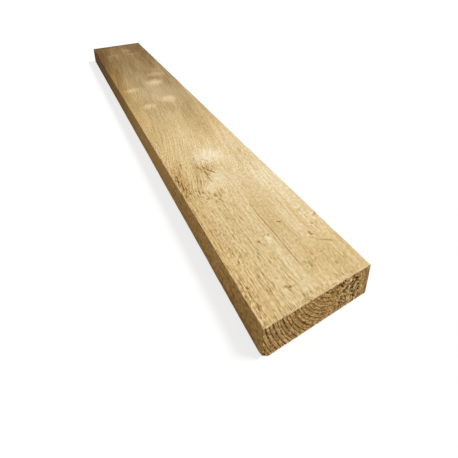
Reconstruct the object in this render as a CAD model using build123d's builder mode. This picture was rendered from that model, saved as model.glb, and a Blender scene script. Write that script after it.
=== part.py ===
from build123d import *
import os

# Rough-sawn softwood plank, one piece of solid timber lying flat.
# Width runs along X, length along Y and thickness along Z, with the origin
# at the middle of the underside. The near end is the one at -Y.

# Sawn section and cross-cut length
plank_length = 1000.0
plank_width = 150.0
plank_thickness = 47.0

# Arrises, the long edges of the section: the saw leaves the upper two crisp,
# handling and stacking have worn the lower two round
upper_arris_radius = 1.0
left_lower_arris_radius = 5.0
right_lower_arris_radius = 2.5

# Heart check, the drying split that opens in the upper face beside the pith.
# It is deepest and widest at its middle and runs out to nothing at both tips.
check_length = 136.0
check_width = 1.6
check_depth = 8.0
check_from_near_end = 90.0
check_from_left_edge = 77.5
check_slant = 0.8
cut_overrun = 2.0

# The floor of the split is an arc through both tips and the deepest point
check_floor_radius = (check_length**2 / 4 + check_depth**2) / (2 * check_depth)
check_plane = Plane(
    origin=(
        check_from_left_edge - plank_width / 2,
        check_from_near_end - plank_length / 2,
        plank_thickness,
    ),
    x_dir=Vector(1, 0, 0).rotate(Axis.Z, check_slant),
    z_dir=Vector(0, -1, 0).rotate(Axis.Z, check_slant),
)
check_arc_centre = check_plane.from_local_coords((0, check_floor_radius - check_depth, 0))
check_arc_axis = Axis(origin=check_arc_centre, direction=check_plane.x_dir)

# The V of the split keeps its slope past the face, so that the cut is clean
check_mouth_half_width = check_width / 2 * (check_depth + cut_overrun) / check_depth

with BuildPart() as plank:
    with BuildSketch(Plane.XZ) as section:
        Rectangle(plank_width, plank_thickness, align=(Align.CENTER, Align.MIN))
        fillet(section.vertices().group_by(Axis.Y)[-1], upper_arris_radius)
        fillet(section.vertices().group_by(Axis.Y)[0].sort_by(Axis.X)[0], left_lower_arris_radius)
        fillet(section.vertices().group_by(Axis.Y)[0].sort_by(Axis.X)[-1], right_lower_arris_radius)
    extrude(amount=plank_length / 2, both=True)

    with BuildSketch(check_plane) as check_profile:
        with BuildLine():
            Polyline(
                (0, -check_depth),
                (check_mouth_half_width, cut_overrun),
                (-check_mouth_half_width, cut_overrun),
                close=True,
            )
        make_face()
    revolve(axis=check_arc_axis, mode=Mode.SUBTRACT)

plank.part.label = "plank"

os.makedirs("parts", exist_ok=True)
export_step(plank.part, "parts/plank.step")
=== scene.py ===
# %% [markdown]
# # A rough-sawn softwood plank
# The real thing is one length of timber, straight off the saw: fuzzy faces, crisp upper arrises,
# a drying split, a few knots, and end grain that shows the growth rings. The solid gives its size.
# This lesson gives it its skin, one cell at a time.

# %% Load the solid
import math
import bpy
import numpy as np
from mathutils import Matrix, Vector


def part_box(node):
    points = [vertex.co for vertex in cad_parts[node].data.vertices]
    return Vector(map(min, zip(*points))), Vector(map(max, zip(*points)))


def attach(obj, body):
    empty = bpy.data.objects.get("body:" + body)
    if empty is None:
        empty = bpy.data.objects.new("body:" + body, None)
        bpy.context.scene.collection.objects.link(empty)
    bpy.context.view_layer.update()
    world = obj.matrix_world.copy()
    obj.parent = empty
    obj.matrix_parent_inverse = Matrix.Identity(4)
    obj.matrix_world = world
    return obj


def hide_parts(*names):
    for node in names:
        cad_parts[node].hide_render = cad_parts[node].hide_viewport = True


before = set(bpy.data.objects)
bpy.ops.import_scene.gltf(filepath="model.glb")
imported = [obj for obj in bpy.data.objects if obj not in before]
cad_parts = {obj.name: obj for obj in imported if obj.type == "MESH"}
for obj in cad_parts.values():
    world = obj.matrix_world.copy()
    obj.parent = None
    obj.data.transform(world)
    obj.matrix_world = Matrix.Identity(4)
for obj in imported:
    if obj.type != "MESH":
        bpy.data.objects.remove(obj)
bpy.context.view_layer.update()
low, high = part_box("plank")
print("solid from", tuple(round(v, 4) for v in low), "to", tuple(round(v, 4) for v in high))

# %% [markdown]
# ## Working in millimetres
# Timber is marked out from one end and one edge. So every place on the plank is given here in
# millimetres: how far across from the left edge, how far along from the near end, and how high
# above the underside. One small helper turns those into Blender's metres.

# %% The plank's own measures
MM = 0.001
WIDTH, LENGTH, THICKNESS = ((high - low) / MM)[:]


def to_frame(across, along, height):
    """Millimetres on the plank to metres in the shared frame."""
    return np.stack([low.x + across * MM, low.y + along * MM, low.z + height * MM], axis=-1)


print(f"plank {WIDTH:.0f} wide, {THICKNESS:.0f} thick, {LENGTH:.0f} long")

# %% [markdown]
# ## Camera
# The picture looks down along the plank from beyond its near left corner, through a wide lens, and
# the picture is cropped so that the lens points at a spot high in the frame. A lens shift gives that
# crop. The place, tilt and turn come from lining up the corners of the upper face and the near end.

# %% Camera
# In pixels: the picture's side, the focal length, and the row that the lens points at
PICTURE, LENS_PIXELS, AIM_ROW = 458, 347.8, 72.1
SENSOR_WIDTH = 36
CAMERA_ACROSS, CAMERA_ALONG, CAMERA_HEIGHT = -134.8, -176, 403.9
CAMERA_DOWN, CAMERA_TURN = math.radians(21.84), math.radians(28.78)


def into_scene(name, data):
    """A new object with this data, linked into the scene."""
    made = bpy.data.objects.new(name, data)
    bpy.context.scene.collection.objects.link(made)
    return made


camera_data = bpy.data.cameras.new("camera")
camera_data.sensor_width = SENSOR_WIDTH
camera_data.lens = LENS_PIXELS * SENSOR_WIDTH / PICTURE
camera_data.shift_y = AIM_ROW / PICTURE - 0.5
camera_data.clip_start = 10 * MM
camera = into_scene("camera", camera_data)
camera.location = to_frame(CAMERA_ACROSS, CAMERA_ALONG, CAMERA_HEIGHT)
camera.rotation_euler = (math.pi / 2 - CAMERA_DOWN, 0, -CAMERA_TURN)
bpy.context.scene.camera = camera
print(f"lens {camera_data.lens:.1f} mm, shift {camera_data.shift_y:.3f}")

# %% [markdown]
# ## Shader maths as plain sums
# A material is a web of nodes, but what it says is arithmetic. This class wraps a node's output so
# that `1 - mask` adds the Math node by itself. Values go through Math nodes, vectors through Vector
# Math, and colours through Mix, because a Math node would turn a colour grey.

# %% Wire: a node's output that can be added and multiplied
class Wire:
    """An output of a shader node. Sums with it add the nodes that work them out."""

    __array_ufunc__ = None  # numpy then leaves a sum with a Wire to the Wire
    tree = None  # the node tree that new nodes go into

    def __init__(self, socket):
        self.socket = socket

    @classmethod
    def node(cls, kind, settings=None, inputs=None, output=0):
        """Adds a node: its settings first, then the values or links of its inputs."""
        made = cls.tree.nodes.new("ShaderNode" + kind)
        for name, value in (settings or {}).items():
            if name == "stops":
                cls.set_stops(made.color_ramp, value)
            else:
                setattr(made, name, value)
        for name, value in (inputs or {}).items():
            if isinstance(value, cls):
                cls.tree.links.new(value.socket, made.inputs[name])
            else:
                made.inputs[name].default_value = value
        return cls(made.outputs[output]) if made.outputs else None

    @staticmethod
    def set_stops(ramp, stops):
        """Gives a colour ramp its places and colours."""
        while len(ramp.elements) < len(stops):
            ramp.elements.new(1)
        for element, (position, colour) in zip(ramp.elements, stops):
            element.position = position
            element.color = colour

    def also(self, output):
        """Another output of the same node."""
        return Wire(self.socket.node.outputs[output])

    @classmethod
    def worked(cls, operation, a, b):
        """A sum of two values, by the kind of node that suits them."""
        kinds = {v.socket.type for v in (a, b) if isinstance(v, cls)}
        if "RGBA" in kinds:
            settings = {"data_type": "RGBA", "blend_type": operation}
            return cls.node("Mix", settings, {0: 1, 6: a, 7: b}, output=2)
        if "VECTOR" in kinds:
            return cls.node("VectorMath", {"operation": operation}, {0: a, 1: b})
        return cls.node("Math", {"operation": operation}, {0: a, 1: b})

    def __add__(self, other):
        return self.worked("ADD", self, other)

    def __sub__(self, other):
        return self.worked("SUBTRACT", self, other)

    def __rsub__(self, other):
        return self.worked("SUBTRACT", other, self)

    def __mul__(self, other):
        return self.worked("MULTIPLY", self, other)

    def __truediv__(self, other):
        return self.worked("DIVIDE", self, other)

    __radd__, __rmul__ = __add__, __mul__


print("sums on node outputs are ready")

# %% [markdown]
# ## One formula for shape and colour
# A ridge on the timber is a bump and a change of colour in the same place. So the formulas below work
# on both: given node outputs they add nodes, and given arrays of numbers they use numpy.

# %% Functions for node outputs and for arrays
def either(operation, from_numpy):
    """One function for a Wire, by a Math node, and for an array of numbers, by numpy."""

    def worked_out(*values):
        if any(isinstance(v, Wire) for v in values):
            return Wire.node("Math", {"operation": operation}, dict(enumerate(values)))
        return from_numpy(*values)

    return worked_out


sine = either("SINE", np.sin)
root = either("SQRT", np.sqrt)
size_of = either("ABSOLUTE", np.abs)
smaller = either("MINIMUM", np.minimum)
fraction = either("FRACT", lambda v: v - np.floor(v))
bell = either("EXPONENT", np.exp)


def rise(value, start, end):
    """0 before start, 1 after end, and a smooth slope between them, either way round."""
    if isinstance(value, Wire):
        inputs = {"Value": value, "From Min": start, "From Max": end}
        return Wire.node("MapRange", {"interpolation_type": "SMOOTHSTEP"}, inputs)
    share = np.clip((value - start) / (end - start), 0, 1)
    return share * share * (3 - 2 * share)


def off_oval(spot, oval):
    """How far off an oval a spot lies: 0 at its middle, 1 on its rim.

    The oval is a row of numbers: its middle, half width and half length, and its turn in degrees.
    """
    middle, halves, angle = oval[:2], oval[2:4], math.radians(oval[4])
    if isinstance(spot, Wire):
        inputs = {"Vector": spot, "Location": (*middle, 0), "Rotation": (0, 0, angle), "Scale": (*halves, 1)}
        seen_from_oval = Wire.node("Mapping", {"vector_type": "TEXTURE"}, inputs)
        return Wire.node("VectorMath", {"operation": "LENGTH"}, {0: seen_from_oval}, output="Value")
    aside, beyond = spot[:, 0] - middle[0], spot[:, 1] - middle[1]
    first = (aside * math.cos(angle) + beyond * math.sin(angle)) / halves[0]
    second = (beyond * math.cos(angle) - aside * math.sin(angle)) / halves[1]
    return np.hypot(first, second)


def together(first, second, third):
    """Three values as one vector, or three arrays as rows of places."""
    if isinstance(first, Wire):
        return Wire.node("CombineXYZ", None, {"X": first, "Y": second, "Z": third})
    return np.stack([first, second, third], -1)


print("rise half way:", rise(0.5, 0, 1))

# %% [markdown]
# ## The tree inside the plank
# A plank is a slice of a trunk. On its end the growth rings come down in steep lines at the left edge,
# bend and lie flat right of the middle, because they are long ovals round the pith, the tree's centre,
# which ran above the upper face there. On the upper face the grain drifts aside with the length and flows
# round each knot.

# %% Growth rings
# How far across and how high the pith ran, how far apart the rings are, and how much taller than wide
PITH_ACROSS, PITH_HEIGHT, RING_STEP, RING_STRETCH = 100, THICKNESS + 40, 4.1, 1.4
# Knots in the upper face: across, along, half width, half length
KNOTS = (
    (50, 24, 4, 3),
    (68, 92, 3, 5),
    (136, 93, 9, 15),
    (98, 255, 14, 20),
    (47, 205, 12, 12),
    (92, 527, 12, 17),
    (42, 511, 12, 11),
    (93, 637, 14, 18),
    (31, 611, 11, 15),
)


def grain_across(across, along, height):
    """Where a point would lie across the plank if the grain of the upper face ran straight."""
    drift = 48 * rise(along, 170, 470) + 45 * rise(along, 430, 1000)
    pushed = 0
    for knot_across, knot_along, half_width, half_length in KNOTS:
        aside = across - knot_across
        beyond = along - knot_along
        reach = aside * aside / (2.4 * half_width) ** 2 + beyond * beyond / (2.2 * half_length) ** 2
        pushed = pushed + 0.55 * aside * bell(-1 * reach)
    return across - (drift + pushed) * rise(height, THICKNESS - 12, THICKNESS - 1)


def ring_number(straight_across, along, height):
    """Which growth ring a point lies in. The whole part counts the rings."""
    wander = 1.4 * sine(along / 160 + 0.7) + 0.6 * sine(along / 47 + 2)
    aside = straight_across - PITH_ACROSS - wander
    below = (PITH_HEIGHT - height) / RING_STRETCH
    number = root(aside * aside + below * below) / RING_STEP
    return number + 0.20 * sine(0.9 * number) + 0.12 * sine(2.3 * number + 1)


def late_wood(number):
    """The dense wood that closes each ring: it grows in slowly and ends at once."""
    share = fraction(number)
    return rise(share, 0.15, 0.62) * rise(share, 1, 0.78)


def ring_lit_and_shaded(number):
    """The edge of each ring on a cut end, painted: a pale highlight on the ridge of late wood, then at once
    dark shade in the groove.
    """
    share = fraction(number)
    return rise(share, 0.58, 0.80) - rise(share, 0.36, 0.10)


print(f"rings {RING_STEP:.1f} mm apart, the pith {PITH_HEIGHT - THICKNESS:.0f} mm above the face")

# %% [markdown]
# ## Marks of the saw and of the tree
# What makes this plank this one and no other are its marks: small dark knots, torn fibres, a scratch.
# Each is an oval with a place, a size and a turn, how much darker it is and how deep it is torn. The
# slanted tears beside the large knot are alike in width and depth, so a loop adds them to the rest.

# %% Dark marks in the upper face
# across, along, half width, half length, turn in degrees, tone, depth in millimetres
MARKS = [
    (46.5, 26, 3, 1.8, -25, -0.26, 0.5),
    (50.5, 23.4, 3.2, 1.5, -5, -0.34, 0.6),
    (56.5, 22.8, 3.6, 1.1, 0, -0.14, 0.3),
    (65.5, 94.5, 3.4, 1.2, 10, -0.16, 0.3),
    (69, 92.6, 1.8, 1.3, 0, -0.26, 0.4),
    (53, 90, 1.7, 2.3, 0, -0.32, 0.3),
    (94.5, 104.3, 3.6, 1.5, -30, -0.45, 0.5),
    (96, 69, 2.4, 1.2, -25, -0.24, 0.3),
    (119, 70, 2.4, 4.2, 15, -0.25, 0.5),
    (130, 51, 12.5, 1, -34, -0.22, 0.3),
    (130.5, 109, 4.6, 1.3, 28, -0.18, 0.4),
    (131.5, 82, 2.8, 3, 0, -0.22, 0.5),
    (146, 93, 3.8, 1.3, 20, -0.20, 0.5),
    (138.5, 98, 1.3, 6, -8, -0.10, 0.2),
    (85, 39, 2.2, 2.8, 0, -0.16, 0.3),
    (90.5, 33, 2.8, 3.4, 15, -0.15, 0.3),
    (100, 46, 1.8, 3, -15, -0.12, 0.2),
    (114, 42, 5, 1.6, 10, -0.12, 0.2),
    (95, 3, 2.4, 1.6, 0, -0.22, 0.5),
    (117, 22, 1.9, 3.2, -10, -0.16, 0.3),
    (131, 23, 2, 3.2, -12, -0.18, 0.4),
    (105, 10, 1.8, 1.8, 0, -0.15, 0.3),
    (69, 150, 2.2, 4.6, -8, -0.14, 0.2),
    (69.5, 136, 3, 2.2, 0, -0.10, 0.2),
    (58.5, 146, 1.5, 3.2, 20, -0.14, 0.2),
    (24, 280, 1.9, 3.4, 0, -0.16, 0.3),
    (127, 219, 1.4, 15, -4, -0.11, 0.3),
    (130.5, 272, 2.6, 8, -6, -0.11, 0.3),
    (137.5, 243, 2.2, 6, -5, -0.10, 0.3),
    (45, 506, 1.4, 17, -22, -0.15, 0.3),
]
# Slanted tears beside the large knot: across, along, half length, turn in degrees, tone
SLANTED = (
    (48, 259, 8.5, 10, -0.30),
    (53, 241, 12, 21, -0.24),
    (57.5, 252.5, 7.5, 30, -0.32),
    (63.5, 241.5, 8.5, 32, -0.42),
    (64.5, 275, 7, 42, -0.18),
    (63.5, 263, 6, 41, -0.20),
    (50, 285.5, 5, -12, -0.26),
)
SLANTED_HALF_WIDTH, SLANTED_DEPTH = 1.3, 0.7
for *middle, half_length, turn, tone in SLANTED:
    MARKS.append((*middle, SLANTED_HALF_WIDTH, half_length, turn, tone, SLANTED_DEPTH))
print(len(MARKS), "sharp marks in the upper face")

# %% [markdown]
# ## Torn grain
# Where fibres rise towards the face the saw tears them: along the left arris, at the cut end and beside
# the knots. One number for each point of the mesh says how torn it is there, and a noise finer than the
# mesh breaks that into flecks. Round an old knot by the left arris the flecks follow bent lines, so there
# a loop walks along each line and sets one fleck after another, a little off it to either side.

# %% Torn places of the upper face
# across, along, half width, half length, turn in degrees, how torn from 0 to 1
TORN = (
    (3, 30, 13, 45, 0, 0.7),
    (18, 105, 11, 60, 0, 0.45),
    (8, 226, 9, 40, 0, 0.6),
    (28, 198, 12, 12, 0, 0.35),
    (50, 190, 12, 12, 0, 0.35),
    (75, 4, 95, 9, 0, 0.35),
    (90, 34, 13, 11, 0, 0.6),
    (118, 68, 5, 9, 0, 0.7),
    (131, 80, 6, 7, 0, 0.7),
    (133, 109, 9, 5, 25, 0.7),
    (146, 92, 5, 6, 0, 0.7),
    (66, 94, 6, 5, 0, 0.7),
    (57, 262, 14, 30, 30, 0.6),
    (18, 282, 14, 12, 0, 0.4),
    (130, 250, 9, 50, -5, 0.35),
    (5, 330, 12, 60, 0, 0.35),
)
# Bent lines of flecks, as points across and along
FLECK_LINES = (
    ((8, 254), (5, 246), (6, 232), (7, 220)),
    ((11, 221), (12, 213), (12, 205)),
    ((21, 212), (27, 203), (33, 199), (39, 195)),
    ((29, 187), (36, 185), (42, 189), (49, 192), (58, 197)),
    ((38, 175), (45, 178), (49, 183), (53, 189)),
)
FLECK_STEP, FLECK_ASIDE = 3.1, 1.6
FLECK_HALVES, FLECK_TONE, FLECK_DEPTH = (1.2, 2.3), -0.23, 0.6


def walked_to(line):
    """How far along a line of points each of its points lies."""
    return np.concatenate([[0], np.cumsum(np.linalg.norm(np.diff(line, axis=0), axis=1))])


def points_after(line, distances):
    """The points that lie so far along a line."""
    walked = walked_to(line)
    return np.stack([np.interp(distances, walked, line[:, i]) for i in (0, 1)], -1)


def flecks_along(line):
    """The middles of the flecks along one bent line."""
    steps = np.arange(0, walked_to(line)[-1], FLECK_STEP)
    aside = FLECK_ASIDE * np.stack([np.sin(7.3 * steps), np.sin(4.1 * steps + 1)], -1)
    return points_after(line, steps) + aside


FLECKS = np.concatenate([flecks_along(np.array(line, float)) for line in FLECK_LINES])


def upper_face(height):
    """1 on the upper face, and 0 from its arrises down."""
    return rise(height, THICKNESS - 1.2, THICKNESS - 0.6)


def fleck_share(place):
    """1 in the middle of a fleck, 0 away from all of them."""
    share = np.zeros(len(place))
    for middle in FLECKS:
        share = np.maximum(share, rise(off_oval(place, (*middle, *FLECK_HALVES, 0)), 1.3, 0.5))
    return share * upper_face(place[:, 2])


def torn_share(place):
    """How torn the upper face is at each point."""
    share = np.zeros(len(place))
    for *oval, torn in TORN:
        share = np.maximum(share, torn * rise(off_oval(place, oval), 1.2, 0.3))
    return share * upper_face(place[:, 2])


print(len(TORN), "torn places and", len(FLECKS), "flecks along", len(FLECK_LINES), "lines")

# %% [markdown]
# ## Noise for the mesh
# Blender's Noise node colours a surface, but Python can't ask it how far to move a vertex. A small noise
# of our own can say that: random numbers at the corners of a lattice, blended smoothly between. The
# corners' numbers come from a hash of their place, so that each run gives the same plank.

# %% Lattice noise
# Large odd numbers that scatter a corner's three counts and the seed
CORNER_FACTORS, SEED_FACTOR, STIR_FACTOR = (73856093, 19349663, 83492791), 2654435761, 1274126177


def lattice_noise(place, cell, seed):
    """Smooth noise from 0 to 1. place is (n, 3) and cell the lattice's size, both in millimetres."""
    spot = place / np.asarray(cell, float)
    corner = np.floor(spot).astype(np.int64)
    share = spot - corner
    share = share * share * (3 - 2 * share)
    total = np.zeros(len(place))
    for step in np.ndindex(2, 2, 2):
        at = corner + np.array(step)
        mixed = np.bitwise_xor.reduce(at * np.array(CORNER_FACTORS), axis=1) ^ seed * SEED_FACTOR
        mixed = (mixed ^ (mixed >> 13)) * STIR_FACTOR & 0xFFFFFFFF
        number = (mixed ^ (mixed >> 16)) % 65536 / 65535
        weight = np.where(np.array(step) == 1, share, 1 - share).prod(axis=1)
        total += weight * number
    return total


print("noise sample", lattice_noise(np.array([[1, 2, 3]]), (5, 5, 5), 1).round(3))

# %% [markdown]
# ## The section and the sawn skin
# The section is a rectangle with four arrises: crisp above, worn round below. Points run round it,
# closer together near the arrises, and rings of such points repeat along the length, closer together
# near the end that is seen best. That gives one closed skin of quads whose rows follow the grain.

# %% Points round the section
# Steps over the width, the thickness and one arris, and how much the points crowd near an arris
ACROSS_STEPS, THICK_STEPS, ARRIS_STEPS, CROWDING = 150, 44, 8, 0.25
UPPER_ARRIS, LEFT_LOWER_ARRIS, RIGHT_LOWER_ARRIS = 1, 5, 2.5
# Across, height, radius, and where the quarter turn starts in degrees
CORNERS = (
    (0, THICKNESS, UPPER_ARRIS, 180),
    (WIDTH, THICKNESS, UPPER_ARRIS, 90),
    (WIDTH, 0, RIGHT_LOWER_ARRIS, 0),
    (0, 0, LEFT_LOWER_ARRIS, -90),
)


def arris(corner, first, last):
    """Points of a rounded corner between two shares of its quarter turn, clockwise."""
    across, height, radius, start = corner
    middle_across = abs(across - radius)
    middle_height = abs(height - radius)
    turn = np.radians(start - 90 * np.linspace(first, last, ARRIS_STEPS + 1))
    return np.stack([middle_across + radius * np.cos(turn), middle_height + radius * np.sin(turn)], -1)


def face_run(corner, next_corner, steps):
    """One face of the section, from the middle of one arris to the middle of the next."""
    line = np.concatenate([arris(corner, 0.5, 1), arris(next_corner, 0, 0.5)])
    share = np.linspace(0, 1, steps + 1)
    share = share - CROWDING * np.sin(2 * np.pi * share) / (2 * np.pi)
    return points_after(line, share * walked_to(line)[-1])


runs = []
for i in range(4):
    run = face_run(CORNERS[i], CORNERS[(i + 1) % 4], (ACROSS_STEPS, THICK_STEPS)[i % 2])
    runs.append(run[:-1])
section = np.concatenate(runs)
ROUND = len(section)
ahead, behind = np.roll(section, -1, axis=0), np.roll(section, 1, axis=0)
outward = np.stack([-(ahead - behind)[:, 1], (ahead - behind)[:, 0]], -1)
outward /= np.linalg.norm(outward, axis=1, keepdims=True)
print(ROUND, "points round the section")

# %% Stations along the length
FINE_STEP, FINE_UNTIL, COARSE_STEP, COARSE_FROM = 2.7, 240, 8.6, 640
stations = [0]
while stations[-1] < LENGTH:
    step = FINE_STEP + (COARSE_STEP - FINE_STEP) * rise(stations[-1], FINE_UNTIL, COARSE_FROM)
    stations.append(stations[-1] + step)
stations = np.array(stations) * LENGTH / stations[-1]
print(len(stations), "stations along the length")

# %% [markdown]
# ## Heart check
# Timber that was cut close to its pith splits there as it dries. The split here is a dark line in the
# upper face, widest at its middle. A row of vertices is bent to run along it, so that it can be pushed
# in as a clean V, with no staircase where the line wanders across the mesh.

# %% The row of vertices that follows the check
CHECK_MIDDLE, CHECK_LENGTH, CHECK_WIDTH, CHECK_DEPTH = 90, 136, 1.6, 8
CHECK_ACROSS, CHECK_SLANT = 77.5, math.tan(math.radians(-0.8))
BEND_REACH = 30


def check_line(along):
    """Where the check lies across the plank."""
    from_middle = np.clip(along - CHECK_MIDDLE, -0.75 * CHECK_LENGTH, 0.75 * CHECK_LENGTH)
    return CHECK_ACROSS + CHECK_SLANT * from_middle + 0.5 * np.sin(along / 11)


def check_share(along):
    half = (along - CHECK_MIDDLE) / (CHECK_LENGTH / 2)
    return np.clip(1 - half * half, 0, 1)


check_row = int(np.argmin(np.abs(section[: ACROSS_STEPS + 1, 0] - CHECK_ACROSS)))
skin = np.zeros((len(stations), ROUND, 3))
skin[:, :, 0] = section[:, 0]
skin[:, :, 1] = stations[:, None]
skin[:, :, 2] = section[:, 1]
top_rows = slice(0, ACROSS_STEPS + 1)
from_row = section[top_rows, 0] - section[check_row, 0]
bend = (check_line(stations) - section[check_row, 0])[:, None] * np.exp(-((from_row / BEND_REACH) ** 2))
inside = np.sin(np.pi * np.linspace(0, 1, ACROSS_STEPS + 1)) ** 0.2
skin[:, top_rows, 0] += bend * inside
for side in (-1, 1):
    skin[:, check_row + side, 0] = skin[:, check_row, 0] + side * CHECK_WIDTH / 2
print("check row", check_row)

# %% [markdown]
# ## End grain mesh
# The two sawn ends close the skin. Each is a grid whose outer rows are the skin's own first or last
# ring. Points inside are blended from the four sides, so the grid keeps to the rounded corners.

# %% Grids for the ends
ring_of = np.zeros((THICK_STEPS + 1, ACROSS_STEPS + 1), int)
ring_of[0, :] = np.arange(ACROSS_STEPS + 1)
ring_of[:, -1] = ACROSS_STEPS + np.arange(THICK_STEPS + 1)
ring_of[-1, :] = ACROSS_STEPS + THICK_STEPS + np.arange(ACROSS_STEPS, -1, -1)
ring_of[:, 0] = (ROUND - np.arange(THICK_STEPS + 1)) % ROUND
share_across = np.linspace(0, 1, ACROSS_STEPS + 1)[None, :, None]
share_down = np.linspace(0, 1, THICK_STEPS + 1)[:, None, None]


def end_grid(ring):
    """Points of an end face, blended from the ring that bounds it."""
    top, bottom = ring[ring_of[0]][None], ring[ring_of[-1]][None]
    left, right = ring[ring_of[:, 0]][:, None], ring[ring_of[:, -1]][:, None]
    rows = (1 - share_down) * top + share_down * bottom
    columns = (1 - share_across) * left + share_across * right
    corners = (1 - share_down) * ((1 - share_across) * top[:, :1] + share_across * top[:, -1:])
    corners = corners + share_down * ((1 - share_across) * bottom[:, :1] + share_across * bottom[:, -1:])
    return rows + columns - corners


inner = (slice(1, -1), slice(1, -1))
near_grid, far_grid = end_grid(skin[0]), end_grid(skin[-1])
print("each end has", near_grid[inner].size // 3, "points of its own")

# %% [markdown]
# ## Relief of the long faces
# A sawn face isn't flat: the saw tears soft wood lower than the hard late wood, fibres stand up, and
# the arrises fray. Every point is pushed in along the face's normal, never out, so that the skin
# stays inside the solid's box.

# %% How deep the long faces are pushed in
def face_depth(place, row):
    """Depth in millimetres for points of the long faces. row is each point's number in its ring."""
    across, along, height = place.T
    straight = grain_across(across, along, height)
    in_grain = together(straight, along, height)
    torn = torn_share(place)
    fuzz = lattice_noise(in_grain, (2.6, 6.5, 2.6), 1)
    ripple = lattice_noise(in_grain, (8, 45, 8), 2)
    pits = rise(lattice_noise(in_grain, (3.2, 6.5, 3.2), 7), 0.64, 0.9)
    soft_wood = 1 - late_wood(ring_number(straight, along, height))
    depth = (0.22 + 0.25 * torn) * fuzz + 0.25 * ripple + 0.10 * soft_wood + (0.12 + 0.8 * torn) * pits
    frayed = lattice_noise(place, (50, 5, 50), 3) * lattice_noise(place, (60, 37, 60), 4)
    to_left = np.hypot(across, THICKNESS - height)
    to_right = np.hypot(WIDTH - across, THICKNESS - height)
    depth += 1.3 * frayed * (rise(to_left, 3, 0) + rise(to_right, 3, 0))
    depth += FLECK_DEPTH * fleck_share(place)
    on_top = upper_face(height)
    for *oval, _, deep in MARKS:
        depth += on_top * deep * rise(off_oval(place, oval), 1.3, 0.3)
    check = np.where(row == check_row, CHECK_DEPTH * check_share(along), 0)
    return np.maximum(depth, check)


flat_skin = skin.reshape(-1, 3)
row_numbers = np.tile(np.arange(ROUND), len(stations))
skin_depth = face_depth(flat_skin, row_numbers)
push = np.zeros_like(flat_skin)
push[:, [0, 2]] = -np.tile(outward, (len(stations), 1)) * skin_depth[:, None]
print(f"faces pushed in by {skin_depth.mean():.2f} mm on average, {skin_depth.max():.1f} at most")

# %% [markdown]
# ## Relief of the ends
# The cross-cut leaves each ring as a ridge and a valley, strong and even towards the left edge. Fine fibre
# ends lean the way the rings do: steep at the left, slacker in the middle, to the other side at the right.
# There the saw tore whole bundles of fibres out and left ragged holes: ovals that a noise breaks up.

# %% How deep the ends are pushed in
STEEP_LEAN, SLACK_LEAN, RIGHT_LEAN = 0.42, 0.95, -0.75
# Torn places: across, down from the upper face, half width, half height, turn in degrees
END_TEARS = (
    (107.5, 5.5, 5.5, 5, -20),
    (111, 14, 4.5, 5.5, -20),
    (107, 31, 3, 6.5, -10),
    (123, 5, 4, 4.5, 0),
    (130, 9, 4.2, 8, -30),
    (124.5, 18, 5, 8, -30),
    (132, 20, 3, 6, -30),
    (125, 30, 4, 5, -20),
    (135, 31, 2, 4, 0),
    (129.5, 37, 3, 4, 0),
)


def leaning(across, along, height, lean):
    """Places for a noise whose grains lean: lean is how far aside they go for each step down."""
    down = THICKNESS - height
    return together(across - lean * down, down, along)


def slack_share(across):
    """1 in the middle of an end, where the fibre ends lie slacker, and 0 towards its edges."""
    return rise(across, 34, 56) * rise(across, 92, 76)


def by_lean(across, steep, slack, right):
    """Three values blended over an end, each where the fibre ends lean its way."""
    torn_part = rise(across, 106, 120)
    return steep + slack_share(across) * (slack - steep) + torn_part * (right - steep)


def strong_rings(across):
    """How strongly the rings show: most of all at the left edge, and least where the end is torn."""
    return 0.12 + 0.58 * rise(across, 104, 78) + 0.30 * rise(across, 58, 20)


def end_depth(place):
    """Depth in millimetres for points of an end: ridges to the left, torn holes to the right."""
    across, along, height = place.T
    steep = lattice_noise(leaning(across, along, height, STEEP_LEAN), (2, 5.5, 9), 5)
    slack = lattice_noise(leaning(across, along, height, SLACK_LEAN), (2.2, 5, 9), 6)
    right = lattice_noise(leaning(across, along, height, RIGHT_LEAN), (2, 4.5, 9), 9)
    rough = by_lean(across, steep, slack, right)
    valleys = 1 - late_wood(ring_number(across, along, height))
    holes = rise(lattice_noise(leaning(across, along, height, RIGHT_LEAN), (2.2, 4.6, 9), 8), 0.45, 0.62)
    spot = np.stack([across, THICKNESS - height], -1)
    torn = np.zeros(len(place))
    for oval in END_TEARS:
        torn = np.maximum(torn, rise(off_oval(spot, oval), 1.35, 0.7))
    depth = 0.75 * strong_rings(across) * valleys + 0.9 * rough + 1.8 * torn * holes
    to_top, to_rest = THICKNESS - height, np.minimum(np.minimum(across, WIDTH - across), height)
    return depth * (0.40 + 0.60 * rise(to_top, 0, 2)) * (0.25 + 0.75 * rise(to_rest, 0, 2.5))


near_inner, far_inner = near_grid[inner].reshape(-1, 3), far_grid[inner].reshape(-1, 3)
end_depths = {}
for name, ring, points in (("near", 0, near_inner), ("far", len(stations) - 1, far_inner)):
    rows = slice(ring * ROUND, (ring + 1) * ROUND)
    sign = 1 if name == "near" else -1
    push[rows, 1] = sign * end_depth(flat_skin[rows])
    end_depths[name] = end_depth(points)
    print(f"{name} end pushed in by up to {end_depths[name].max():.1f} mm")

# %% [markdown]
# ## Worn corner
# The lower left corner of the near end has been knocked round. The points near it are drawn in towards
# the middle of the timber, most at the corner and not at all a finger's width away.

# %% Draw the corner in
CORNER_REACH, CORNER_WEAR = np.array([9, 8, 9]), np.array([1, 2, 1.2])


def worn_corner(place):
    """How far each point near the corner is drawn in, in millimetres."""
    off = np.linalg.norm(place / CORNER_REACH, axis=1)
    return CORNER_WEAR * rise(off, 1, 0.1)[:, None]


print(f"corner drawn in by {np.linalg.norm(worn_corner(flat_skin), axis=1).max():.1f} mm at most")

# %% [markdown]
# ## Pale and dark wood
# Knots, sapwood and old wet stains show on the upper face as soft patches, and the near end has a few of
# its own. They are ovals again, but wide, with blurred rims that a noise shakes well out of shape. Nothing
# in them is finer than the mesh, so their tone is worked out once for each vertex.

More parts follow.
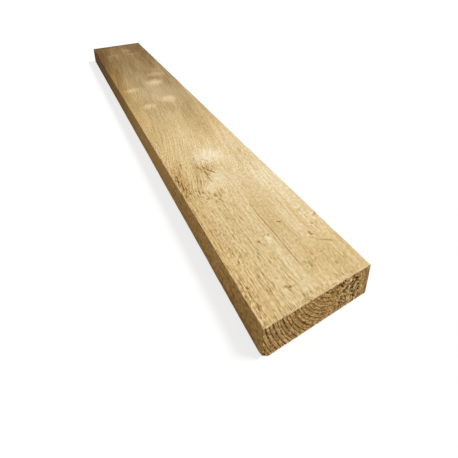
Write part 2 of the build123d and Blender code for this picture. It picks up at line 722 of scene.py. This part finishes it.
# %% Soft patches
# across, along, half width, half length, turn in degrees, tone
PATCHES = (
    (67, 95, 10, 90, 0, 0.07),
    (88, 118, 11, 42, 0, -0.04),
    (91, 185, 13, 18, 0, -0.02),
    (74, 45, 16, 17, 0, 0.04),
    (110, 100, 11, 48, 0, 0.05),
    (120.5, 105, 2.6, 40, 0, -0.06),
    (66, 17, 12, 10, 0, 0.05),
    (70, 88, 4, 6, 0, 0.09),
    (136, 93, 9, 18, 0, 0.05),
    (136, 170, 20, 70, 0, 0.05),
    (93, 38, 18, 13, 0, -0.04),
    (122, 26, 36, 42, 0, -0.03),
    (4, 110, 9, 170, 0, -0.04),
    (46, 210, 15, 13, 0, 0.08),
    (62, 226, 13, 20, 0, 0.05),
    (80, 210, 20, 26, 0, 0.04),
    (56, 254, 11, 18, 30, -0.09),
    (76, 284, 28, 26, -15, 0.09),
    (82, 282, 15, 20, 0, 0.06),
    (93, 243, 14, 14, 0, -0.02),
    (8, 238, 12, 42, 0, -0.07),
    (22, 160, 20, 26, 0, 0.03),
    (85, 326, 4, 18, -15, -0.08),
    (108, 372, 9, 34, -14, -0.06),
    (66, 405, 20, 80, -10, 0.06),
    (108, 455, 12, 45, -10, -0.05),
    (92, 527, 19, 19, 0, 0.06),
    (42, 511, 19, 15, 0, 0.04),
    (66, 545, 12, 26, -12, 0.05),
    (76, 590, 36, 62, -10, 0.05),
    (94, 637, 24, 19, 0, 0.06),
    (30, 612, 21, 15, 0, 0.02),
    (110, 690, 25, 12, 0, 0.14),
    (127, 640, 10, 46, -8, -0.08),
    (125, 770, 9, 42, -8, -0.07),
    (136, 885, 9, 24, -8, -0.05),
    (8, 780, 18, 210, 0, -0.09),
    (16, 940, 18, 42, 0, -0.02),
    (85, 930, 13, 30, 0, 0.12),
    (102, 888, 28, 12, 0, 0.09),
    (40, 897, 22, 9, 0, 0.09),
    (8, 530, 15, 130, 0, -0.05),
    (75, 994, 90, 9, 0, -0.10),
)
# The same for the near end, with the drop from the upper face in place of the distance along
END_PATCHES = (
    (45, 26, 9, 15, -42, -0.06),
    (96, 13, 9, 10, 0, -0.06),
    (2, 34, 4, 9, 0, -0.13),
    (27, 41, 9, 6, 0, 0.05),
    (64, 33, 7, 12, -45, 0.04),
    (117.5, 26, 2.2, 24, -5, 0.17),
    (136.5, 20, 2.4, 27, -9, 0.17),
    (145.5, 25, 4, 25, 0, -0.05),
    (80, 4, 12, 3, 0, 0.03),
)
# How far the rims are shaken on the face, across and along, and on the end
FACE_SHAKE, END_SHAKE = (11, 18), 3
# A point this close to a cut belongs to the end
END_BAND = 0.06


def patch_tones(spot, patches):
    """What a table of patches adds to the tone of each spot."""
    tones = np.zeros(len(spot))
    for *oval, tone in patches:
        tones += tone * rise(off_oval(spot, oval), 1.25, 0.5)
    return tones


def soft_tone(place):
    """The tone of the patches at each point, on the upper face and on the near end."""
    shake = np.stack([lattice_noise(place, (14, 30, 14), seed) - 0.5 for seed in (11, 12)], -1)
    on_face = patch_tones(place[:, :2] + shake * FACE_SHAKE, PATCHES) + FLECK_TONE * fleck_share(place)
    end_spot = np.stack([place[:, 0], THICKNESS - place[:, 2]], -1)
    on_end = patch_tones(end_spot + END_SHAKE * shake, END_PATCHES)
    return np.where(place[:, 1] < END_BAND, on_end, on_face)


print(len(PATCHES), "patches on the face,", len(END_PATCHES), "on the end")

# %% [markdown]
# ## Smooth knots
# Six knots were cut clean: two near ones, and four that show as pale ovals far off. How far inside a knot
# each vertex lies is worked out here. The material calms the grain there and draws the knots' rings.

# %% Smooth knots of the upper face
# across, along, half width, half length
SMOOTH_KNOTS = (
    (98, 255, 12, 20),
    (47, 205, 13, 14),
    (94, 637, 20, 16),
    (92, 527, 16, 17),
    (42, 511, 16, 12),
    (30, 612, 17, 11),
)


def inside_knots(place):
    """How far inside the nearest knot a point lies: 1 at its middle, 0 on its rim, then less than 0."""
    offs = [off_oval(place, (*knot, 0)) for knot in SMOOTH_KNOTS]
    return 1 - np.min(offs, axis=0)


print(len(SMOOTH_KNOTS), "smooth knots")

# %% [markdown]
# ## One closed mesh
# Skin and ends are joined by the numbers of their vertices alone, so that no vertex is doubled.

# %% Join skin and ends into one mesh
sawn_place = np.concatenate([flat_skin, near_inner, far_inner])
sawn_depth = np.concatenate([skin_depth, end_depths["near"], end_depths["far"]])
moved = np.concatenate([flat_skin + push, near_inner, far_inner])
near_start, far_start = len(flat_skin), len(flat_skin) + len(near_inner)
moved[near_start:far_start, 1] += end_depths["near"]
moved[far_start:, 1] -= end_depths["far"]
moved += worn_corner(sawn_place)

this_row, next_row = np.arange(ROUND), (np.arange(ROUND) + 1) % ROUND
base = np.arange(len(stations) - 1)[:, None] * ROUND
skin_quads = [base + this_row, base + next_row, base + ROUND + next_row, base + ROUND + this_row]
skin_quads = np.stack(skin_quads, -1).reshape(-1, 4)


def end_quads(ring_start, inner_start, flip):
    """The quads of one end: its ring's numbers outside, its own points' inside."""
    number = ring_of + ring_start
    number[inner] = inner_start + np.arange(len(near_inner)).reshape(number[inner].shape)
    quads = [number[:-1, :-1], number[1:, :-1], number[1:, 1:], number[:-1, 1:]]
    quads = np.stack(quads, -1).reshape(-1, 4)
    return quads[:, ::-1] if flip else quads


last_ring = (len(stations) - 1) * ROUND
quads = np.concatenate([skin_quads, end_quads(0, near_start, False), end_quads(last_ring, far_start, True)])
mesh = bpy.data.meshes.new("sawn_plank")
mesh.from_pydata(to_frame(*moved.T).tolist(), [], quads.tolist())
mesh.update()
mesh.polygons.foreach_set("use_smooth", np.ones(len(quads), bool))
plank = into_scene("sawn_plank", mesh)
print(len(quads) * 2, "triangles, mesh sound:", not mesh.validate())

# %% [markdown]
# ## Values that ride along
# Five values ride along with each point: its place before it was moved, which the material draws on, how
# deep it was pushed, because the ends' hollows are painted darker, for dust and for the shade that falls in
# them, the tone of the patches, how torn it is, and how far inside a knot.

# %% Values that ride along with the points
def keep(name, kind, values):
    """Stores one value, or one vector, for each vertex."""
    kept = mesh.attributes.new(name, kind, "POINT")
    kept.data.foreach_set("vector" if kind == "FLOAT_VECTOR" else "value", values.astype(np.float32).ravel())


keep("sawn_place", "FLOAT_VECTOR", sawn_place)
keep("sawn_depth", "FLOAT", sawn_depth)
keep("soft_tone", "FLOAT", soft_tone(sawn_place))
keep("torn_share", "FLOAT", torn_share(sawn_place))
keep("inside_knots", "FLOAT", inside_knots(sawn_place))
print("values kept:", ", ".join(a.name for a in mesh.attributes if not a.is_internal))

# %% [markdown]
# ## A flat layout
# To paint the plank's look into pictures, its skin has to lie flat without overlaps. The skin round the
# section unrolls into one strip as long as the plank, and the two ends stand beside it, enlarged, because
# the end grain is finer than anything else.

# %% Unroll the skin and lay the ends beside it
# Shares of the layout's side: the strip's width, the ends' start and the height of each end
SKIN_SHARE, END_START, END_TALL = 0.80, 0.81, 0.49
walked_round = walked_to(np.concatenate([section, section[:1]]))
unrolled = walked_round / walked_round[-1] * SKIN_SHARE
columns, rows = np.arange(ROUND), np.arange(len(stations) - 1)
corner_columns = np.stack([columns, columns + 1, columns + 1, columns], -1)[None]
corner_rows = np.stack([rows, rows, rows + 1, rows + 1], -1)[:, None]
corner_columns, corner_rows = np.broadcast_arrays(unrolled[corner_columns], stations[corner_rows] / LENGTH)
layout = np.stack([corner_columns, corner_rows], -1).reshape(-1, 4, 2)
end_corners = sawn_place[quads[len(skin_quads):]]
end_layout = np.empty((len(end_corners), 4, 2))
end_layout[..., 0] = END_START + (1 - END_START) * end_corners[..., 2] / THICKNESS
end_layout[..., 1] = END_TALL * end_corners[..., 0] / WIDTH
end_layout[len(end_corners) // 2:, :, 1] += 1 - END_TALL
layout = np.concatenate([layout, end_layout])
mesh.uv_layers.new(name="OFBake").data.foreach_set("uv", layout.astype(np.float32).ravel())
print("layout from", layout.min(axis=(0, 1)).round(3), "to", layout.max(axis=(0, 1)).round(3))

# %% [markdown]
# ## Sawn timber
# One number, the tone, runs from black-brown to pale straw, and one ramp turns it into colour, so
# that light and dark wood always belong to the same timber. Everything the eye sees then is a sum
# of tones: growth rings, streaks along the grain, torn flecks, knots and stains.

# %% Colours of the timber
def srgb(red, green, blue):
    """A colour, given from 0 to 255, as the shader wants it."""
    parts = [v / 255 for v in (red, green, blue)]
    return (*(v / 12.92 if v <= 0.04045 else ((v + 0.055) / 1.055) ** 2.4 for v in parts), 1)


TIMBER_STOPS = (
    (0.00, srgb(50, 34, 14)),
    (0.15, srgb(99, 74, 37)),
    (0.35, srgb(146, 116, 69)),
    (0.55, srgb(185, 157, 105)),
    (0.70, srgb(211, 183, 129)),
    (0.80, srgb(223, 197, 146)),
    (0.90, srgb(233, 211, 167)),
    (1.00, srgb(245, 230, 197)),
)
WARM = srgb(255, 230, 191)
DULL = (0.99, 0.975, 1.06, 1)


def start_nodes(owner):
    """Empties the nodes of a material or the world, and has Wire add its own there."""
    owner.use_nodes = True
    owner.node_tree.nodes.clear()
    Wire.tree = owner.node_tree


def ridden(name, output="Fac"):
    """A value that rides along with the points."""
    return Wire.node("Attribute", {"attribute_name": name}, output=output)


timber = bpy.data.materials.new("rough_sawn_timber")
start_nodes(timber)
place = ridden("sawn_place", "Vector")
across = Wire.node("SeparateXYZ", None, {0: place}, output="X")
along, height = across.also("Y"), across.also("Z")
depth, patch_tone = ridden("sawn_depth"), ridden("soft_tone")
torn, in_knot = ridden("torn_share"), ridden("inside_knots")
print("timber has", len(TIMBER_STOPS), "tones")

# %% [markdown]
# ## Noise that follows the grain
# Blender's noise has round grains. Here it is stretched along the fibres, on places where the grain has
# been straightened, so that the streaks flow round the knots.

# %% Noise that follows the grain
straight = grain_across(across, along, height)
in_grain = together(straight, along, height)


def noise(spot, cell, detail=2, roughness=0.5, seed=0):
    """Blender's noise, stretched to a cell in millimetres and moved aside by a seed."""
    moved_spot = spot * tuple(1 / v for v in cell) + (seed, seed, seed)
    inputs = {"Vector": moved_spot, "Scale": 1, "Detail": detail, "Roughness": roughness}
    return Wire.node("TexNoise", None, inputs)


number = ring_number(straight, along, height)
rings = late_wood(number)
broad = noise(in_grain, (34, 210, 34), seed=3.1) - 0.5
streaks = noise(in_grain, (6, 75, 6), detail=3, seed=7.7) - 0.5
lines = noise(in_grain, (1.7, 60, 1.7), seed=5.2) - 0.5
fuzz = noise(in_grain, (3, 5.5, 3), detail=4, roughness=0.7, seed=1.3) - 0.5
grit = rise(noise(in_grain, (2.7, 4.6, 2.7), seed=4.7), 0.34, 0.66) - 0.5
mottle = noise(place, (9, 15, 9), detail=3, roughness=0.6, seed=8.8) - 0.5
flecked = rise(noise(in_grain, (2.3, 5.2, 2.3), seed=9.2), 0.54, 0.64)
fibres = rise(noise(in_grain, (1.9, 7, 1.9), detail=1, seed=2.6), 0.57, 0.70)
specks = rise(noise(in_grain, (1.2, 14, 1.2), seed=6.1), 0.55, 0.66)
dark_lines = rise(noise(in_grain, (2, 120, 2), detail=1, seed=6.4), 0.57, 0.64)
print(len(timber.node_tree.nodes), "nodes for rings and grain")

# %% [markdown]
# ## Sharp marks in the shader
# A mark only a millimetre or two wide needs a finer grid than the mesh's, so the shader draws it: one
# Mapping node looks at the surface from the mark, and the length of what it sees is how far off it is.
# A smooth knot keeps its own rings: a sine of how far inside the knot a spot lies draws them.

# %% Sharp marks
# The place, moved aside by a noise, so that the marks get uneven rims
aside = noise(place, (2.6, 5, 2.6), seed=8.3).also("Color")
aside = Wire.node("VectorMath", {"operation": "SUBTRACT"}, {0: aside, 1: (0.5, 0.5, 0.5)})
ragged = (place + aside * (2, 2, 2)) * (1, 1, 0)
mark_tone = 0
for *oval, tone, _ in MARKS:
    mark_tone = mark_tone + tone * rise(off_oval(ragged, oval), 1.3, 0.4)
flecks = torn * flecked
calm = rise(in_knot, -0.35, 0.35)
knot_rings = 0.07 * rise(in_knot, -1.3, -0.2) * sine(23 * (in_knot + 0.35 * mottle))
print(len(MARKS), "sharp marks,", len(timber.node_tree.nodes), "nodes so far")

# %% [markdown]
# ## Faces, sides and ends
# The upper face is straw-pale near by and grows darker and browner towards the far end, which is painted
# shade of light falling off along the length, and it is duller there.
# The left side is rougher and darker, partly as painted shade, the right side and the underside are plain.
# Each share below, from
# 0 to 1, says how much a spot belongs to one of these places.

# %% Which place a spot belongs to
on_end = rise(size_of(along - LENGTH / 2), LENGTH / 2 - END_BAND, LENGTH / 2 - END_BAND / 2)
on_top = upper_face(height)
on_side = 1 - on_top
dark_side = on_side * rise(across, 30, 3)
coarse_side = dark_side * rise(along, 420, 60)
left_share = rise(across, 76, 48) * rise(along, 520, 300)
near_left = left_share * rise(along, 330, 220)
far_off = rise(along, 360, 620)
print(len(timber.node_tree.nodes), "nodes with the places")

# %% [markdown]
# ## Tone of the grain
# Bands, rings, streaks, lines, fuzz, grit and specks each make the timber a little lighter or darker. Far
# off the fine ones fade, as they do to the eye, and the rings show more. Smooth knots calm them all.

# %% Tone of the grain
grain_tone = 0.26 * broad + (0.22 + 0.05 * far_off) * streaks - (0.04 + 0.06 * far_off) * rings
grain_tone = grain_tone + (0.20 - 0.09 * far_off) * lines + (0.24 - 0.12 * far_off) * fuzz
grain_tone = grain_tone - (0.03 + 0.07 * left_share) * dark_lines
gritty = 0.12 - 0.05 * far_off + 0.20 * torn - 0.06 * on_side + 0.22 * coarse_side
specked = 0.12 - 0.10 * far_off + 0.17 * near_left
grain_tone = (grain_tone + gritty * grit - specked * specks) * (1 - 0.6 * calm)
print(len(timber.node_tree.nodes), "nodes with the grain")

# %% [markdown]
# ## Tone of the long faces
# Patches, marks, torn flecks and knots add to the base tone of the upper face, which painted shade darkens
# towards the far end. The sides have the grain alone and the same painted shade towards the far end, and the
# left one its darker, mottled tone, which is partly painted shade.

# %% Tone of the long faces
pale_right = 0.07 * rise(along, 50, 200) * rise(along, 430, 300) * rise(across, 35, 85)
# Painted shade: the upper face darkens towards the far end, as if the light fell off along the length
base_and_far_shade = 0.825 + pale_right - 0.135 * rise(along, 250, 480)
base_and_far_shade = base_and_far_shade - 0.25 * rise(along, 430, 840) - 0.11 * rise(along, 740, 1000)
torn_tone = 0.07 * torn * fibres - 0.32 * flecks
knot_spot = in_knot + 2 * mottle + 0.6 * fuzz
pale_knots = far_off * (0.09 * rise(knot_spot, -0.6, 0.5) + 0.07 * rise(knot_spot, 0.2, 0.8))
face_tone = base_and_far_shade + grain_tone + patch_tone + mark_tone + torn_tone + knot_rings + pale_knots
# The sides get the same painted shade towards the far end
side_tone = 0.72 - 0.14 * rise(along, 300, 900) + grain_tone
# The left side is darker, partly as painted shade, and painted shade deepens it most towards the far end
left_tone_and_shade = 0.06 * rise(along, 20, 105) + 0.02 * rise(along, 100, 300) - 0.10
left_tone_and_shade = left_tone_and_shade - 0.15 * rise(along, 400, 640) - 0.20 * rise(along, 640, 1000)
side_tone = side_tone + dark_side * (left_tone_and_shade + 0.18 * mottle)
long_tone = side_tone + on_top * (face_tone - side_tone)
print(len(timber.node_tree.nodes), "nodes with the long faces")

# %% [markdown]
# ## Tone of the ends
# On an end each ring is a ridge and a groove, painted with a highlight on the ridge and shade in the groove.
# The fibre ends are a speckle that leans as the relief does, with crumbs that don't lean. Both are stronger
# where the saw tore, and hollows are painted darker, for dust and for the shade in them.

# %% Tone of the ends
def fibre_ends(lean, cell, seed):
    """A noise whose grains lean."""
    return noise(leaning(across, along, height, lean), cell, detail=3, roughness=0.65, seed=seed)


steep = fibre_ends(STEEP_LEAN, (1.9, 6.2, 9), 4.4)
slack = fibre_ends(SLACK_LEAN, (2.1, 5.6, 9), 5.9)
right = fibre_ends(RIGHT_LEAN, (1.9, 4.6, 9), 2.4)
speckle = rise(by_lean(across, steep, slack, right), 0.36, 0.64) - 0.5
# Painted highlight on each ring's ridge and painted shade in the groove beside it
ring_light_and_shade = 0.27 * strong_rings(across) * (ring_lit_and_shaded(number) - 0.05)
crumbs = rise(noise(place, (1.9, 3, 2.4), detail=1, seed=3.5), 0.36, 0.64) - 0.5
ripped = rise(across, 102, 110) * rise(across, 139, 133)
crumbled = 0.30 + 0.40 * ripped
speckled = 0.34 - 0.08 * slack_share(across) + 0.24 * ripped
# Hollows are painted darker, for dust and for the shade that falls in them
end_tone = 0.65 + ring_light_and_shade + speckled * speckle + crumbled * crumbs + patch_tone - 0.11 * smaller(depth, 2.6)
tone = long_tone + on_end * (end_tone - long_tone)
print(len(timber.node_tree.nodes), "nodes for the tones")

# %% [markdown]
# ## Colour and finish
# The ramp gives the tone its colour. Ends and dark patches are warmer than clean wood, the sides warmer too,
# partly as painted warm shade, and the far part is duller, so two mixes tint it. The bump draws what is finer
# than the mesh, and the finish is rough, because sawn timber has almost no gloss.

# %% Surface
greyed = rise(along, 330, 620) * rise(across, 12, 50)
on_face_warmth = 0.18 * rise(across, 40, 2) * rise(along, 430, 280) - 0.35 * greyed
# The sides are warmer, partly as the painted warm colour of light bounced into their shade
side_warmth_and_shade = 0.40 * on_side + 0.55 * dark_side
warmth = 0.05 + 0.4 * broad + side_warmth_and_shade + on_end * (0.72 - side_warmth_and_shade)
warmth = warmth + on_top * (1 - on_end) * (on_face_warmth - 1.5 * smaller(patch_tone, 0))
ramp = Wire.node("ValToRGB", {"stops": TIMBER_STOPS}, {0: tone})
tinted = {0: warmth, 6: ramp, 7: ramp * WARM}
colour = Wire.node("Mix", {"data_type": "RGBA", "clamp_factor": False}, tinted, output=2)
colour = Wire.node("Mix", {"data_type": "RGBA"}, {0: greyed, 6: colour, 7: colour * DULL}, output=2)
face_height = 0.32 * fuzz + 0.30 * streaks + 0.45 * lines - 0.15 * dark_lines + (0.10 + 0.22 * torn) * grit
face_height = (face_height + torn * (0.15 * fibres - 0.5 * flecked)) * (1 - 0.6 * calm)
relief = face_height + on_end * (0.45 * speckle - face_height)
bump = Wire.node("Bump", None, {"Strength": 1, "Distance": MM, "Height": relief})
finish = {"Base Color": colour, "Roughness": 0.9 - 0.1 * rings, "Normal": bump, "Specular IOR Level": 0.15}
surface = Wire.node("BsdfPrincipled", None, finish)
Wire.node("OutputMaterial", None, {"Surface": surface})
mesh.materials.append(timber)
print(len(timber.node_tree.nodes), "nodes in the timber")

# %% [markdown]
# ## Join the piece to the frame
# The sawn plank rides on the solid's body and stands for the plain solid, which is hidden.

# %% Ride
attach(plank, "root")
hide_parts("plank")
print("the sawn plank rides on the solid's body")

# %% [markdown]
# ## Floor and background
# The background is plain white. A pale floor catches a soft shadow, and the camera sees it and the
# world as white, while the light that falls on the timber stays at a plain level. Light Path tells
# a ray that looks from one that lights.

# %% Floor
# Half the floor's side in metres, and its greys: as it lights the timber, and as the eye sees it
FLOOR_HALF, FLOOR_BOUNCE, FLOOR_LIT, FLOOR_GLOW = 8, 0.45, 0.25, 0.77


def grey(level):
    """A grey as the shader wants it."""
    return (level, level, level, 1)


def looking():
    """1 for rays that show the background to the eye or in a gloss, 0 for rays that carry light."""
    camera_ray = Wire.node("LightPath", output="Is Camera Ray")
    in_gloss = camera_ray.also("Is Glossy Ray") + camera_ray.also("Is Transmission Ray")
    return smaller(camera_ray + in_gloss, 1)


floor_corners = [(x * FLOOR_HALF, y * FLOOR_HALF, low.z) for x, y in ((-1, -1), (1, -1), (1, 1), (-1, 1))]
floor_mesh = bpy.data.meshes.new("floor")
floor_mesh.from_pydata(floor_corners, [], [(0, 1, 2, 3)])
floor = into_scene("floor", floor_mesh)
paint = bpy.data.materials.new("pale_floor")
start_nodes(paint)
bounce = Wire.node("BsdfDiffuse", None, {"Color": grey(FLOOR_BOUNCE)})
lit = Wire.node("BsdfDiffuse", None, {"Color": grey(FLOOR_LIT)})
glow = Wire.node("Emission", None, {"Color": grey(1), "Strength": FLOOR_GLOW})
shown = Wire.node("AddShader", None, {0: lit, 1: glow})
painted = Wire.node("MixShader", None, {0: looking(), 1: bounce, 2: shown})
Wire.node("OutputMaterial", None, {"Surface": painted})
floor_mesh.materials.append(paint)
print("floor", 2 * FLOOR_HALF, "m square")

# %% World
AMBIENT = 0.32
world = bpy.data.worlds.new("studio")
bpy.context.scene.world = world
start_nodes(world)
sky_light = {"Color": grey(1), "Strength": AMBIENT + (1 - AMBIENT) * looking()}
sky = Wire.node("Background", None, sky_light)
Wire.node("OutputWorld", None, {"Surface": sky})
print("world gives", AMBIENT, "of the light")

# %% [markdown]
# ## Light
# One large soft light stands high to the right, a little on the camera's side: it rakes the upper face,
# so that fuzz and pits show, brushes the near end and leaves the left side dark. A sun lamp with a wide
# disc does this evenly over the whole length, where a lamp close by would fade along it. Its strength
# tops the world's light up to 1 on a level face, so a colour renders as it is written.

# %% Sun
TO_SUN = Vector((0.42, -0.30, 0.86)).normalized()
SUN_DISC = math.radians(14)
sun_data = bpy.data.lights.new("studio_sun", "SUN")
sun_data.energy = math.pi * (1 - AMBIENT) / TO_SUN.z
sun_data.angle = SUN_DISC
sun = into_scene("studio_sun", sun_data)
sun.rotation_euler = TO_SUN.to_track_quat("Z", "Y").to_euler()
print(f"sun of {sun_data.energy:.2f} W per square metre")

# %% [markdown]
# ## Finish
# The picture shows its colours as rendered, with the Standard view transform.

# %% Finish
bpy.context.scene.view_settings.view_transform = "Standard"
